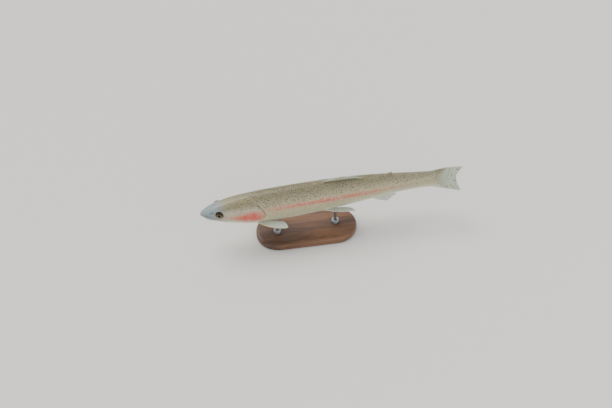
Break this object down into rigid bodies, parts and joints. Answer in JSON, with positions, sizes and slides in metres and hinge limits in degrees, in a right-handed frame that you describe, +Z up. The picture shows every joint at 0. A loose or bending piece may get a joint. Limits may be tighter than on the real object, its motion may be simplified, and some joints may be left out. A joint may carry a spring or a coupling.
{
  "type": "rainbow trout",
  "caption": "Life-size museum model of a spotted trout with a rosy side stripe and cheek, gliding with level paired fins and a slightly bent tail, on rods over a rounded wooden base.",
  "frame": {"origin": "middle of the stand base's underside, on the floor", "axes": "+Z up; the snout points to -X and the tail to +X; the fish's left side faces -Y"},
  "size_m": [0.4488, 0.074, 0.1285],
  "materials": {
    "skin": "moist scaled fish skin, olive back, rosy stripe, pale belly, dark spots",
    "fin": "thin rayed membrane, satin, slightly translucent",
    "eye": "clear glossy cornea over a dark pupil and brassy iris",
    "stand_wood": "oiled walnut, satin",
    "stand_steel": "brushed"
  },
  "bodies": {
    "root": {"head": "skin", "lower_jaw": "skin", "upper_jaw_left": "skin", "upper_jaw_right": "skin", "gill_cover_left": "skin", "gill_cover_right": "skin", "trunk": "skin", "tail_stalk": "skin", "eye_left": "eye", "eye_right": "eye", "fin_dorsal": "fin", "fin_adipose": "fin", "fin_anal": "fin", "fin_tail": "fin", "fin_pectoral_left": "fin", "fin_pectoral_right": "fin", "fin_pelvic_left": "fin", "fin_pelvic_right": "fin", "stand_base": "stand_wood", "stand_rod_front": "stand_steel", "stand_rod_rear": "stand_steel", "stand_collar_front": "stand_steel", "stand_collar_rear": "stand_steel"}
  },
  "joints": []
}
